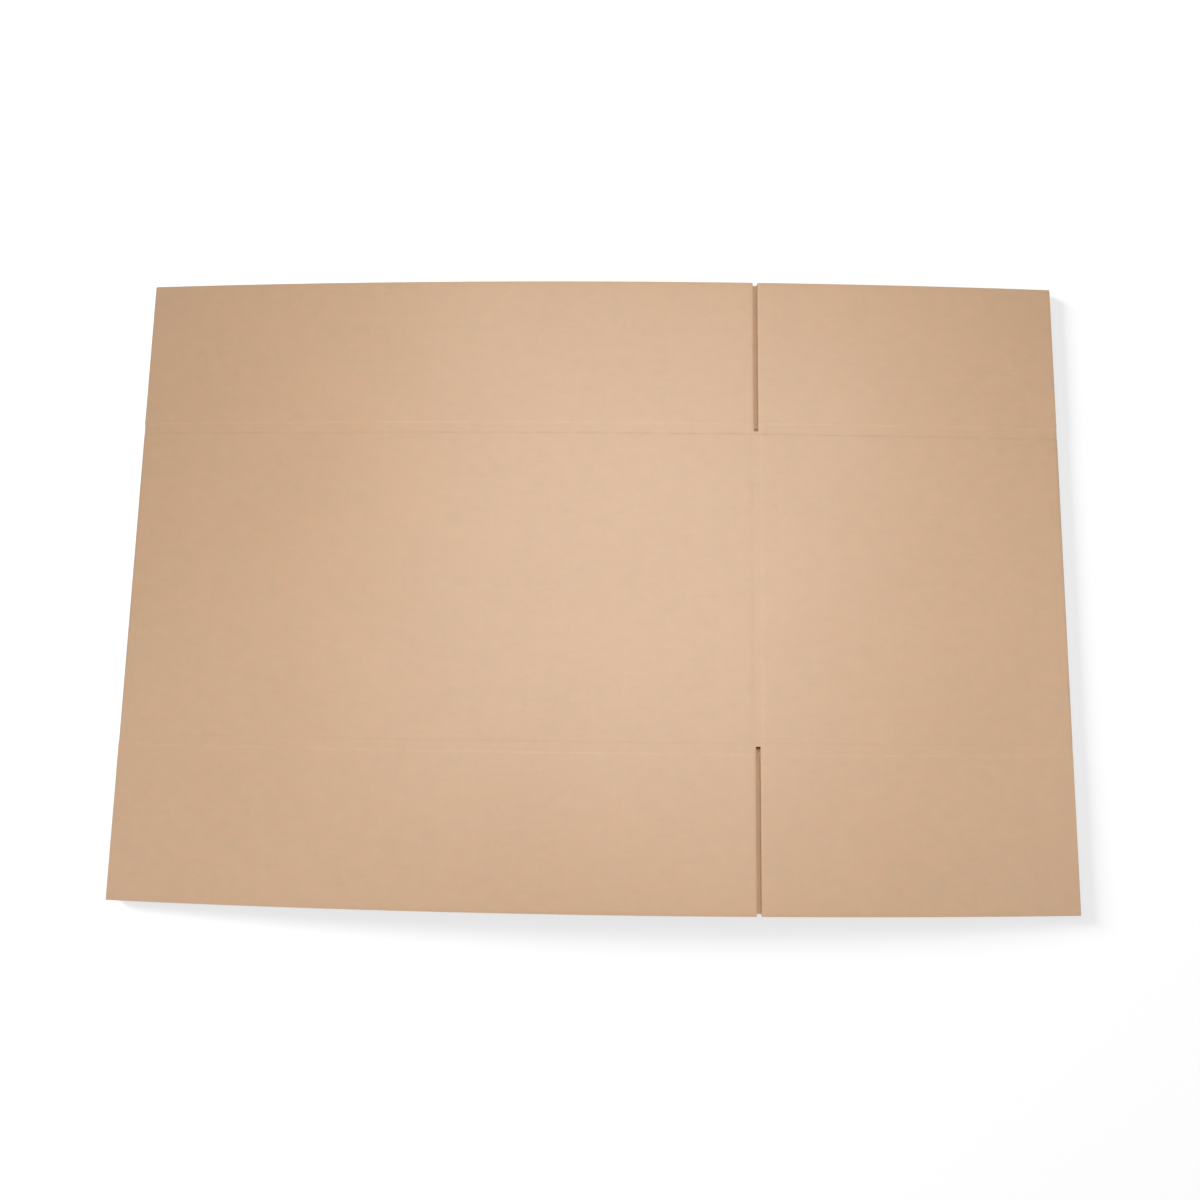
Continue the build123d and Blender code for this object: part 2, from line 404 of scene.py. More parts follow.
class SheetShape:
    """Depths of the three papers under the nominal outer face, at s and y.

    Waves are given as wavelength, height and phase, the crease's walls as start
    and width, and its ridge as place and reach.
    """

    SCORE_WANDER = ((47 * MM, 0.08 * MM, 0.4), (113 * MM, 0.12 * MM, 2.1))
    SCORE_DEPTHS = ((19 * MM, 0.16, 0.0), (31 * MM, 0.14, 1.0), (88 * MM, 0.12, 3.0))
    CREASE_DEPTHS = ((23 * MM, 0.12, 0.5), (61 * MM, 0.15, 2.0))
    WAVES_ALONG_S = ((171 * MM, 0.3, 0.0), (263 * MM, 0.4, 1.2))
    WAVES_ALONG_Y = ((143 * MM, 0.5, 0.7), (389 * MM, 0.5, 2.4))
    CREASE_WALLS = ((-5.8 * MM, 4.8 * MM), (1.9 * MM, 2.6 * MM))
    RIDGE = (7.2 * MM, 3.4 * MM)
    GROOVE_WALL, GROOVE_FADE = 0.75, 1 * MM
    ROLL_START, ROLL_REACH, END_REACH = 4 * MM, 0.9 * MM, 0.7 * MM

    def __init__(self, scene):
        self.size = SheetSizes(scene)
        self.path = StripPath(scene, self.size)
        self.scores = scene.box_scores
        self.folds = scene.box_folds
        self.papers = scene.box_board
        self.finish = scene.box_finish
        self.tab = scene.box_tab
        path, half = self.path, self.size.half_slot
        self.gaps = (
            (path.nose_left - half, path.nose_left + half),
            (path.over_at(self.size.crease_x - half), path.over_at(self.size.crease_x + half)),
            (path.nose_right - half, path.nose_right + half),
            (path.ramp_at(self.size.seam_x + half), path.end + half),
        )
        self.cut_edges = (0.0,) + tuple(edge for gap in self.gaps for edge in gap)[:-1]
        self.open_sides = (-1, 1) * len(self.gaps)

    def flat_share(self, y):
        """How far the section is flattened at y: 0 in the body, 1 along the flaps."""
        start = self.size.slot_end - self.folds.flap_ease / 3
        return ease((np.abs(y) - start) / self.folds.flap_ease)

    def score(self, s, y):
        """Share of a score line's depth: a flat bottom between two walls, uneven along s."""
        sizes = self.scores
        off = np.abs(np.abs(y) - self.size.score_y + ripple(s, self.SCORE_WANDER))
        wall = ease((sizes.score_half + sizes.score_wall / 2 - off) / sizes.score_wall)
        uneven = 1 + ripple(s, self.SCORE_DEPTHS)
        return wall * uneven * np.where(y > 0, 1.0, sizes.near_share)

    def back(self, s, y):
        """Depth of the narrow groove that the scoring wheel leaves in the inner face."""
        off = np.abs(np.abs(y) - self.size.score_y)
        half = self.scores.back_half
        groove = ease((half - off) / (self.GROOVE_WALL * half))
        return self.scores.score_back * groove * (1 - ease((s - self.path.ramp_start) / self.GROOVE_FADE))

    def crease(self, s, y):
        """Depth of the crease on top: a slow and a steep wall, and a ridge beside it."""
        sizes = self.scores
        off = s - self.path.over_at(self.size.crease_x)
        slow, steep = (ease((off - start) / width) for start, width in self.CREASE_WALLS)
        place, reach = self.RIDGE
        ridge = np.exp(-((off - place) / reach) ** 2)
        uneven = 1 + ripple(y, self.CREASE_DEPTHS)
        inside = 1 - self.flat_share(y)
        return (sizes.crease_depth * (slow - steep) - sizes.crease_ridge * ridge) * uneven * inside

    def slot_roll(self, s, y):
        """How far the board is bent down beside a slot: it dies away from the cut edge."""
        edges = np.array(self.cut_edges)
        near = np.min(np.abs(s[..., None] - edges), axis=-1)
        past = ease((np.abs(y) - self.size.slot_end) / self.ROLL_START)
        return self.scores.slot_roll * np.exp(-near / self.ROLL_REACH) * past

    def end_roll(self, y):
        """How far the outer paper is bent down at the flap ends."""
        return self.scores.end_roll * np.exp(-(self.size.half_length - np.abs(y)) / self.END_REACH)

    def outer(self, s, y):
        """Depth of the outer face."""
        slow = ripple(s, self.WAVES_ALONG_S) * ripple(y, self.WAVES_ALONG_Y)
        return (
            self.scores.score_depth * self.score(s, y)
            + self.crease(s, y)
            + self.slot_roll(s, y)
            + self.end_roll(y)
            + self.papers.undulation * (0.5 + slow)
        )

    def inner(self, s, y):
        """Depth of the inner face, less where folds, scores and the tab are pressed."""
        folds = self.folds
        near = np.minimum(np.abs(s - self.path.nose_left), np.abs(s - self.path.nose_right))
        rolled = (1 - self.flat_share(y)) * (self.size.board - folds.fold_wall)
        crushed = rolled * np.exp(-((near / folds.crush_reach) ** 2))
        pressed = ease((s - self.path.ramp_start) / (self.path.tab_start - self.path.ramp_start))
        pressed = pressed * (self.size.board - self.tab.tab_thickness)
        return self.size.board - crushed - pressed - self.back(s, y) - self.end_roll(y) / 2

    def row_shift(self, s, y):
        """The tab is shorter than the body: its rows are drawn together towards its tip."""
        size, tab, path = self.size, self.tab, self.path
        edge = self.gaps[3][0]
        root = size.score_y - tab.tab_inset
        at_root = size.slot_end + (root - size.slot_end) * ease((s - edge) / (path.tab_start - edge))
        taper = tab.tab_taper * np.clip((s - path.tab_start) / (path.end - path.tab_start), 0.0, 1.0)
        return y * (at_root - taper) / size.slot_end

    def points(self, s, y, depth):
        """Points at a depth under the nominal outer face, for every s and y of two grids."""
        place, out = self.path.section(s, self.flat_share(y))
        x, z = place[..., 0] - out[..., 0] * depth, place[..., 1] - out[..., 1] * depth
        return np.stack([x, self.row_shift(s, y), z], -1)

    def kept(self, s, y):
        """Which cells of a grid are paper: no slots, and no flaps on the tab."""
        middle_s = (s[:, :-1] + s[:, 1:])[:-1] / 2
        middle_y = (y[:-1] + y[1:])[:, :-1] / 2
        open_cells = np.zeros(middle_s.shape, bool)
        for start, end in self.gaps:
            open_cells |= (middle_s > start) & (middle_s < end)
        return ~(open_cells & (np.abs(middle_y) > self.size.slot_end))


def liner_columns(shape):
    """Developed lengths for the flat papers: close together at folds, slots and crease."""
    path, step = shape.path, shape.papers.pitch / 2
    fold_count, ramp_count, tab_count = 21, 15, 8
    before_crease, after_crease, crease_step = 9 * MM, 14 * MM, 0.95 * MM
    beside = np.array([0.0, 0.35, 0.8, 1.5, 2.6]) * MM
    clear_of_edge, least_step = 0.2 * MM, 0.12 * MM
    crease = path.over_at(shape.size.crease_x)
    plain = np.concatenate([
        np.arange(step, path.floor_left, step),
        np.arange(path.roof_left, path.roof_right, step),
        np.arange(path.floor_right, path.ramp_start, step),
    ])
    fine = np.concatenate([
        np.linspace(path.floor_left, path.roof_left, fold_count),
        np.linspace(path.roof_right, path.floor_right, fold_count),
        np.linspace(path.ramp_start, path.tab_start, ramp_count),
        np.linspace(path.tab_start, path.end, tab_count),
        np.arange(crease - before_crease, crease + after_crease, crease_step),
    ])
    edges = np.concatenate([edge + side * beside for edge in shape.cut_edges for side in (-1, 1)])
    exact = np.array(sorted(set(shape.cut_edges) | {path.end}))
    loose = np.concatenate([plain, fine, edges])
    loose = np.sort(loose[(loose > 0) & (loose < path.end)])
    loose = loose[np.min(np.abs(loose[:, None] - exact), axis=1) > clear_of_edge]
    apart = np.append(True, np.diff(loose) > least_step)
    return np.sort(np.concatenate([loose[apart], exact]))


def liner_rows(shape):
    """Values of y for the flat papers: close together at score lines and flap ends."""
    size = shape.size
    beside = np.array([0.0, 0.3, 0.9, 2.5, 7.0]) * MM
    groove = np.array([12.0, 8.5, 6.6, 5.4, 4.6, 4.1, 3.6, 3.1, 2.6, 2.1, 1.5, 0.8]) * MM
    from_end, from_score, from_middle, plain_count = 18 * MM, 20 * MM, 12 * MM, 6
    half = np.concatenate([
        size.half_length - beside,
        np.linspace(size.half_length - from_end, size.score_y + from_score, plain_count),
        size.score_y + groove,
        [size.score_y],
        size.score_y - groove,
        [size.slot_end],
        np.linspace(size.score_y - from_score, from_middle, plain_count),
    ])
    return np.unique(np.round(np.concatenate([half, -half]) / MM, 3)) * MM


def closed_sheet(front, back, keep):
    """Vertices and quads of a thin closed sheet between two grids of points.

    Each kept cell has a quad on either side, and each edge between a kept and
    an open cell has a quad from side to side.
    """
    rows, columns = front.shape[:2]
    top = np.arange(rows * columns).reshape(rows, columns)
    corners = np.stack([top[:-1, :-1], top[:-1, 1:], top[1:, 1:], top[1:, :-1]], -1)
    ring = np.pad(keep, 1)
    neighbours = (ring[:-2, 1:-1], ring[1:-1, 2:], ring[2:, 1:-1], ring[1:-1, :-2])
    quads = [corners[keep], corners[keep][:, ::-1] + top.size]
    for side, beside in enumerate(neighbours):
        near, far = side, (side + 1) % 4
        rim = corners[keep & ~beside]
        across = np.stack([rim[:, far], rim[:, near], rim[:, near] + top.size, rim[:, far] + top.size], 1)
        quads.append(across)
    quads = np.concatenate(quads)
    used, packed = np.unique(quads, return_inverse=True)
    points = np.concatenate([front.reshape(-1, 3), back.reshape(-1, 3)])
    return points[used], packed.reshape(quads.shape)


def put(name, data):
    """A new object in the scene, at the origin."""
    made = bpy.data.objects.new(name, data)
    bpy.context.scene.collection.objects.link(made)
    return made


def make_object(name, points, faces, material):
    """A mesh object at the origin from arrays of points and of equal faces."""
    mesh = bpy.data.meshes.new(name)
    sides = faces.shape[1]
    mesh.vertices.add(len(points))
    mesh.vertices.foreach_set("co", points.astype(np.float32).ravel())
    mesh.loops.add(faces.size)
    mesh.loops.foreach_set("vertex_index", faces.astype(np.int32).ravel())
    mesh.polygons.add(len(faces))
    mesh.polygons.foreach_set("loop_start", np.arange(0, faces.size, sides, dtype=np.int32))
    mesh.update(calc_edges=True)
    mesh.shade_smooth()
    mesh.set_sharp_from_angle(angle=SHARP_EDGE)
    mesh.materials.append(material)
    made = put(name, mesh)
    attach(made, BODY)
    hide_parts(NODE)
    return made


def make_liner(shape, name, material, outside):
    """One flat paper of the board, a thin closed sheet on one side of the flutes."""
    s, y = np.meshgrid(liner_columns(shape), liner_rows(shape))
    paper = shape.papers.paper
    if outside:
        near = shape.outer(s, y)
        far = near + paper
    else:
        far = shape.inner(s, y)
        near = far - paper
    front, back = shape.points(s, y, near), shape.points(s, y, far)
    return make_object(name, *closed_sheet(front, back, shape.kept(s, y)), material)


def medium_rows(shape):
    """Values of y for the fluted paper."""
    size = shape.size
    from_end = np.array([0.15, 0.9, 12.0, 45.0]) * MM
    from_score = np.array([8.0, 4.6, 3.4, 2.4, 0.0, -2.4, -3.4, -4.6, -8.0]) * MM
    from_middle = 45 * MM
    half = np.concatenate([
        size.half_length - from_end,
        size.score_y + from_score,
        [size.slot_end, from_middle],
    ])
    return np.sort(np.concatenate([half, -half]))


def medium_columns(shape):
    """Developed lengths for the fluted paper: eight to a flute, and just inside the slots' edges.

    The fluted paper ends where the board is pressed for the tab.
    """
    last, step = shape.path.ramp_start, shape.papers.pitch / 8
    inset, edge_inset, clear_of_edge = 0.3 * MM, 0.12 * MM, 0.2 * MM
    even = np.arange(inset, last, step)
    edges = [edge - side * edge_inset for edge, side in zip(shape.cut_edges, shape.open_sides)]
    exact = np.array([edge for edge in edges[1:] if edge < last])
    far = np.min(np.abs(even[:, None] - exact), axis=1) > clear_of_edge
    return np.sort(np.concatenate([even[far], exact]))


def make_medium(shape, name, material):
    """The fluted paper: a sine between the liners, drawn along the developed length.

    Its middle is at m + a sin(2 pi s / pitch), with m halfway between the liners
    and a so that it touches both, and its two faces are half its thickness away
    along the sine's own normal.
    """
    s, y = np.meshgrid(medium_columns(shape), medium_rows(shape))
    paper, medium, pitch = shape.papers.paper, shape.papers.medium, shape.papers.pitch
    near = shape.outer(s, y) + paper + medium / 2
    far = shape.inner(s, y) - paper - medium / 2
    middle, height = (near + far) / 2, (far - near) / 2
    phase = 2 * pi * s / pitch
    slope = 2 * pi * height / pitch * np.cos(phase)
    lean = np.sqrt(1 + slope**2)
    depth = middle + height * np.sin(phase)
    half = medium / 2
    front = shape.points(s + half * slope / lean, y, depth - half / lean)
    back = shape.points(s - half * slope / lean, y, depth + half / lean)
    return make_object(name, *closed_sheet(front, back, shape.kept(s, y)), material)


def make_fibres(shape, name, material, sizes):
    """Torn fibres on the slots' cut edges: thin three-sided spikes that bend down.

    Each has a root triangle, a middle triangle and a point. Its root is at a random
    place along the edge and in the thickness of one of the liners. Fibres grow
    towards a slot's closed end, less so on the far side, and are short right at it.
    """
    spread_share, outer_share, far_growth = 0.7, 0.6, 0.3
    nose_reach, end_reach, end_share = 10 * MM, 2 * MM, 0.35
    root_inset, in_paper = 0.08 * MM, (0.1, 0.9)
    reach_shape, width_range = (1.3, 3.2), (0.4, 1.0)
    slant_spread, sag_range = 0.9, (-0.1, 0.7)
    bend_at, bend_sag, bend_width = 0.55, 0.3, 0.6
    tip_slant, root_lean = 1.5, 0.3

    draw = np.random.default_rng(FIBRE_SEED)
    path, size = shape.path, shape.size
    edges = zip(shape.cut_edges, shape.open_sides)
    runs = [(edge, side, end) for edge, side in edges for end in (-1, 1)]
    total = sizes.per_edge * len(runs)
    s, side, end = (np.repeat(column, sizes.per_edge) for column in zip(*runs))
    flap = size.half_length - size.slot_end
    spread = draw.random(total) < spread_share
    anywhere = flap * draw.random(total)
    gathered = sizes.torn_reach * draw.exponential(1.0, total)
    past = np.minimum(np.where(spread, anywhere, gathered), flap - sizes.fibre_length)
    y = end * (size.slot_end + past)
    from_nose = np.minimum(np.abs(s - path.nose_left), np.abs(s - path.nose_right))
    growth = sizes.torn_growth * (from_nose > nose_reach) * np.where(end < 0, 1.0, far_growth)
    torn = 1 + growth * np.exp(-past / sizes.torn_reach)
    torn = torn * np.where(past < end_reach, end_share, 1.0)
    outside = draw.random(total) < outer_share
    top = shape.outer(s, y) + shape.papers.paper * draw.uniform(*in_paper, total)
    bottom = shape.inner(s, y) - shape.papers.paper * draw.uniform(*in_paper, total)
    root = shape.points(s - side * root_inset, y, np.where(outside, top, bottom))

    out = path.section(s, np.ones(total))[1]
    zero = np.zeros(total)
    into = np.stack([side * out[:, 1], zero, -side * out[:, 0]], 1)
    down = np.stack([-out[:, 0], zero, -out[:, 1]], 1)
    along = np.stack([zero, np.ones(total), zero], 1)
    reach = (sizes.fibre_length * torn * draw.beta(*reach_shape, total))[:, None]
    slant = draw.normal(0.0, slant_spread, total)[:, None]
    sag = draw.uniform(*sag_range, total)[:, None]
    bend = root + reach * bend_at * (into + slant * along + bend_sag * sag * down)
    tip = root + reach * (into + tip_slant * slant * along + sag * down)
    width = (sizes.fibre_width * torn * draw.uniform(*width_range, total))[:, None] / 2
    ring = [along * width, -along * width + down * width * root_lean, down * width]
    points = np.stack([root + r for r in ring] + [bend + bend_width * r for r in ring] + [tip], 1)
    points[..., 1] = np.clip(points[..., 1], -size.half_length, size.half_length)
    pattern = np.array([
        [0, 1, 2], [0, 3, 1], [1, 3, 4], [1, 4, 2], [2, 4, 5], [2, 5, 0], [0, 5, 3],
        [3, 6, 4], [4, 6, 5], [5, 6, 3],
    ])
    turned = np.where(side[:, None, None] > 0, pattern[None, :, ::-1], pattern[None])
    faces = turned + points.shape[1] * np.arange(total)[:, None, None]
    return make_object(name, points.reshape(-1, 3), faces.reshape(-1, 3), material)


def add(tree, kind, inputs=None, **settings):
    """A shader node with its settings, and inputs that are numbers or other nodes' sockets."""
    made = tree.nodes.new("ShaderNode" + kind)
    for key, value in settings.items():
        setattr(made, key, value)
    for key, value in (inputs or {}).items():
        if isinstance(value, bpy.types.NodeSocket):
            tree.links.new(value, made.inputs[key])
        else:
            made.inputs[key].default_value = value
    return made


def calc(tree, operation, first, second=0.0):
    """One step of arithmetic on sockets or numbers."""
    return add(tree, "Math", {0: first, 1: second}, operation=operation).outputs[0]


def times(tree, first, second):
    """The product of two sockets or numbers."""
    return calc(tree, "MULTIPLY", first, second)


def plus(tree, value, extra, strength=1.0):
    """A value with strength x extra added to it."""
    return calc(tree, "ADD", value, times(tree, extra, strength))


def ranged(tree, value, start, end, low=0.0, high=1.0, kind="SMOOTHSTEP"):
    """low up to start and high from end on, with a smooth step or a line between."""
    inputs = {"Value": value, "From Min": start, "From Max": end, "To Min": low, "To Max": high}
    return add(tree, "MapRange", inputs, interpolation_type=kind).outputs[0]


def empty_tree(owner):
    """The node tree of a new material or world, without the nodes that it starts with."""
    owner.use_nodes = True
    owner.node_tree.nodes.clear()
    return owner.node_tree


def band(tree, value, centre, half, edge):
    """1 where value is within half of centre, easing to 0 over edge."""
    off = calc(tree, "ABSOLUTE", calc(tree, "SUBTRACT", value, centre))
    return ranged(tree, off, half, half + edge, 1.0, 0.0)


def moved(tree, vector, stretch, shift):
    """The vector stretched and shifted."""
    inputs = {"Vector": vector, "Scale": stretch, "Location": shift}
    return add(tree, "Mapping", inputs).outputs[0]


def noise(tree, vector, scale, detail, rough, stretch=(1.0, 1.0, 1.0), shift=(0.0, 0.0, 0.0)):
    """Noise between 0 and 1 on a stretched copy of the vector."""
    place = moved(tree, vector, stretch, shift)
    inputs = {"Vector": place, "Scale": scale, "Detail": detail, "Roughness": rough}
    return add(tree, "TexNoise", inputs).outputs["Fac"]


def centred(tree, value, strength):
    """A noise value turned to run about 1, by strength either way."""
    return plus(tree, 1.0, calc(tree, "SUBTRACT", value, 0.5), 2 * strength)


def flecks(tree, vector, scale, stretch, size, chance, shift):
    """Sparse small spots: the middles of some of a pattern's random cells."""
    inputs = {"Vector": moved(tree, vector, stretch, shift), "Scale": scale}
    cells = add(tree, "TexVoronoi", inputs).outputs
    spot = ranged(tree, cells["Distance"], size * FLECK_CORE, size, 1.0, 0.0, "LINEAR")
    lot = add(tree, "SeparateColor", {"Color": cells["Color"]}).outputs[0]
    return times(tree, spot, calc(tree, "LESS_THAN", lot, chance))


def dashes(tree, vector, stretch, shift):
    """Long dashes along X with gaps between them: 1 on a dash and 0 in a gap."""
    value = noise(tree, vector, *DASH_NOISE, stretch, shift)
    return ranged(tree, value, *DASH_LEVELS, kind="LINEAR")


def mixed_colours(tree, factor, first, second):
    """The first colour at factor 0 and the second at 1.

    A Mix node has its two colours at inputs 6 and 7, and the mixed one at output 2.
    """
    inputs = {"Factor": factor, 6: first, 7: second}
    return add(tree, "Mix", inputs, data_type="RGBA").outputs[2]


# Layers of the paper's cloudiness: share of the mottle, then the noise's scale per metre, detail,
# roughness, stretch and shift.
CLOUDINESS = {
    "clouds": (1.0, 14.0, 2.0, 0.5),
    "formation": (0.7, 260.0, 4.0, 0.6, (1.0, 1.3, 1.0)),
    "streaks": (0.8, 420.0, 3.0, 0.55, (0.16, 1.6, 1.0), (3.1, 0.7, 0.0)),
    "grain": (0.3, 2600.0, 2.0, 0.6, (0.5, 1.0, 1.0), (1.7, 5.3, 0.0)),
    "patches": (1.3, 105.0, 2.0, 0.6, (1.0, 1.2, 1.0), (4.4, 1.9, 0.0)),
}
# How much some layers raise the surface, and how uneven the formation makes its gloss.
RELIEF = {"formation": 0.5, "grain": 0.22, "streaks": 0.3}
GLOSS_SPREAD = 0.10
BUMP = {"Strength": 0.45, "Distance": 0.06 * MM}
# Dark, small dark and pale flecks: their strength, then scale, stretch, size, share of cells, shift.
FLECKS = (
    (-1.0, 70.0, (1.0, 1.6, 1.0), 0.045, 0.22, (0.3, 0.1, 0.0)),
    (-0.6, 190.0, (1.0, 1.5, 1.0), 0.08, 0.06, (0.9, 0.4, 0.0)),
    (0.7, 110.0, (1.0, 1.6, 1.0), 0.065, 0.24, (0.5, 0.8, 0.0)),
)
FLECK_CORE = 0.4
# The hue wanders between two tints: a broad noise, and a narrow one with its gain.
BROAD_HUE = (9.0, 2.0, 0.5, (1.0, 1.0, 1.0), (7.0, 2.0, 0.0))
NARROW_HUE = (95.0, 2.0, 0.5, (1.0, 1.0, 1.0), (2.0, 8.0, 0.0))
HUE_GAIN = 4.0
REDDER, YELLOWER = (1.012, 0.996, 0.98), (0.988, 1.003, 1.0)
# Flute lines on the outer face: strength in tone and in relief.
FLUTE_TONE, FLUTE_RELIEF = 0.0022, 0.16
# Broken lines: their noise, its levels in a gap and on a dash, and the stretch and shift of the
# painted shade on the score walls and of the painted light on the score rims.
DASH_NOISE, DASH_LEVELS = (70.0, 4.0, 0.65), (0.47, 0.56)
SHADED_WALL_DASHES, LIT_RIM_DASHES = ((1.0, 0.03, 1.0), (0.2, 0.9, 0.0)), ((0.8, 0.03, 1.0), (0.7, 0.3, 0.0))
# Lines outside: painted shade on each score's wall towards the middle, painted light on its rim
# towards the flap end, a pale rubbed line on each fold and a darker line beside it. Each has its place,
# half width and soft edge. Places run from the score line to the flap ends for the first two, and
# from the folded side to the middle for the others.
SCORE_WALL_SHADE = (-3.3 * MM, 0.2 * MM, 0.5 * MM)
SCORE_RIM_LIGHT = (3.3 * MM, 0.3 * MM, 0.6 * MM)
FOLD_RUB = (1.6 * MM, 0.2 * MM, 0.9 * MM)
FOLD_LINE = (6.8 * MM, 0.2 * MM, 0.6 * MM)
SLOT_FADE = 1.5 * MM
# Share of the painted score shade on the near side, darkness of the line beside each fold, gain of the
# pale lines (painted light at the score rims, rubbing on the folds), and relief of the dark lines.
NEAR_SHADE, FOLD_LINE_DARKNESS, RUB_AND_LIGHT_GAIN, DARK_LINE_RELIEF = 0.45, 0.4, 0.8, -0.5
# Painted shade inside, a dark brown band along each score line: its place from the score line, half
# width and soft edge, and a shift that moves it out into the slots' ends on the near side and under
# the board on the far side.
GROOVE_SHADE_BAND = (-1.05 * MM, 0.3 * MM, 1.7 * MM)
GROOVE_SHADE_SHIFT = 0.65 * MM


def outer_marks(tree, vector, tone, relief, shape):
    """Tone and relief with what only the outer face has.

    These are faint flute lines, a dark line in each score and beside each fold, and
    pale rubbed lines at the scores' rims and on the folds.
    """
    size, wear_and_shading = shape.size, shape.finish.wear_and_shading
    axes = add(tree, "SeparateXYZ", {"Vector": vector}).outputs
    along_x, along_y = calc(tree, "ABSOLUTE", axes["X"]), calc(tree, "ABSOLUTE", axes["Y"])
    flutes = calc(tree, "SINE", times(tree, axes["X"], 2 * pi / shape.papers.pitch))
    tone = plus(tree, tone, flutes, FLUTE_TONE)
    relief = plus(tree, relief, flutes, FLUTE_RELIEF)

    def beside_fold(place, half, edge):
        return band(tree, along_x, size.half_width - place, half, edge)

    far = plus(tree, NEAR_SHADE, calc(tree, "GREATER_THAN", axes["Y"], 0.0), 1 - NEAR_SHADE)
    off = calc(tree, "SUBTRACT", along_y, size.score_y)
    inside = band(tree, along_y, 0.0, size.slot_end, SLOT_FADE)
    # Painted shade on each score's wall towards the middle, and a darker line beside each fold.
    shade_and_fold_line = times(tree, times(tree, band(tree, off, *SCORE_WALL_SHADE), far), dashes(tree, vector, *SHADED_WALL_DASHES))
    shade_and_fold_line = plus(tree, shade_and_fold_line, times(tree, beside_fold(*FOLD_LINE), inside), FOLD_LINE_DARKNESS)
    # Painted light on each score's rim towards the flap end, and a pale rubbed line on each fold.
    rim = times(tree, band(tree, off, *SCORE_RIM_LIGHT), dashes(tree, vector, *LIT_RIM_DASHES))
    rub_and_light = plus(tree, rim, times(tree, beside_fold(*FOLD_RUB), inside))
    tone = plus(tree, plus(tree, tone, shade_and_fold_line, -wear_and_shading), rub_and_light, RUB_AND_LIGHT_GAIN * wear_and_shading)
    return tone, plus(tree, relief, shade_and_fold_line, DARK_LINE_RELIEF)


def changed(tint, factors):
    """A tint with each of its three channels times its own factor."""
    return (*(channel * factor for channel, factor in zip(tint, factors)), 1.0)


def wandering_hue(tree, vector, tint):
    """The tint, a little redder here and a little yellower there."""
    broad, narrow = noise(tree, vector, *BROAD_HUE), noise(tree, vector, *NARROW_HUE)
    wander = calc(tree, "SUBTRACT", plus(tree, broad, narrow, HUE_GAIN), HUE_GAIN / 2)
    return mixed_colours(tree, wander, changed(tint, REDDER), changed(tint, YELLOWER))


def paper_material(name, tint, shape, marks=False, groove_shaded=False):
    """Kraft paper: cloudy fibres, streaks across the flutes and flecks.

    marks turns on what only the outer face has. grooved turns on the brown
    grooves that the scoring wheels crush into the papers inside.
    """
    finish = shape.finish
    material = bpy.data.materials.new(name)
    tree = empty_tree(material)
    vector = add(tree, "TexCoord").outputs["Object"]
    layers = {key: noise(tree, vector, *look) for key, (_, *look) in CLOUDINESS.items()}
    tone, relief = 1.0, 0.0
    for key, value in layers.items():
        tone = times(tree, tone, centred(tree, value, finish.mottle * CLOUDINESS[key][0]))
    for strength, *look in FLECKS:
        tone = plus(tree, tone, flecks(tree, vector, *look), strength * finish.fleck)
    for key, height in RELIEF.items():
        relief = plus(tree, relief, layers[key], height)
    gloss = plus(tree, finish.gloss, calc(tree, "SUBTRACT", layers["formation"], 0.5), GLOSS_SPREAD)
    if marks:
        tone, relief = outer_marks(tree, vector, tone, relief, shape)

    hue = wandering_hue(tree, vector, tint)
    shown = add(tree, "VectorMath", {0: hue, "Scale": tone}, operation="SCALE").outputs[0]
    # Painted shade: a dark brown band along the score lines, seen in the slots' ends.
    if groove_shaded:
        across = add(tree, "SeparateXYZ", {"Vector": vector}).outputs["Y"]
        off = calc(tree, "ABSOLUTE", calc(tree, "ADD", across, GROOVE_SHADE_SHIFT))
        groove = band(tree, calc(tree, "SUBTRACT", off, shape.size.score_y), *GROOVE_SHADE_BAND)
        shown = mixed_colours(tree, groove, shown, (*finish.groove, 1.0))
    bump = add(tree, "Bump", {"Height": relief, **BUMP})
    paper = add(tree, "BsdfPrincipled", {
        "Base Color": shown, "Roughness": gloss, "Normal": bump.outputs[0],
        "IOR": finish.bend if marks else finish.dull,
    })
    add(tree, "OutputMaterial", {"Surface": paper.outputs[0]})
    return material


def seen_directly(tree):
    """1 for what is seen, straight, in a reflection or through glass, and 0 for other light."""
    ray = add(tree, "LightPath").outputs
    seen = calc(tree, "MAXIMUM", ray["Is Camera Ray"], ray["Is Glossy Ray"])
    return calc(tree, "MAXIMUM", seen, ray["Is Transmission Ray"])


def floor_material(name, stage):
    """White floor: it takes shadows, and adds white only for what is seen directly.

    Away from the box the added white rises to 1, the white of the room.
    """
    material = bpy.data.materials.new(name)
    tree = empty_tree(material)
    matte = add(tree, "BsdfDiffuse", {"Color": (*[stage.floor_tone] * 3, 1.0)})
    place = add(tree, "TexCoord").outputs["Object"]
    away = add(tree, "VectorMath", {0: place}, operation="LENGTH").outputs["Value"]
    glow = ranged(tree, away, stage.fade_start, stage.fade_end, stage.floor_glow)
    strength = times(tree, seen_directly(tree), glow)
    light = add(tree, "Emission", {"Color": WHITE, "Strength": strength})
    both = add(tree, "AddShader", {0: matte.outputs[0], 1: light.outputs[0]})
    add(tree, "OutputMaterial", {"Surface": both.outputs[0]})
    return material


def make_lamp(name, place, side, watts):
    """A square soft lamp that faces the middle of the box."""
    data = bpy.data.lights.new(name, "AREA")
    data.shape = "SQUARE"
    data.size = side
    data.energy = watts
    lamp = put(name, data)
    lamp.location = place
    lamp.rotation_euler = Vector(place).to_track_quat("Z", "Y").to_euler()
    lamp.visible_camera = False
    return lamp


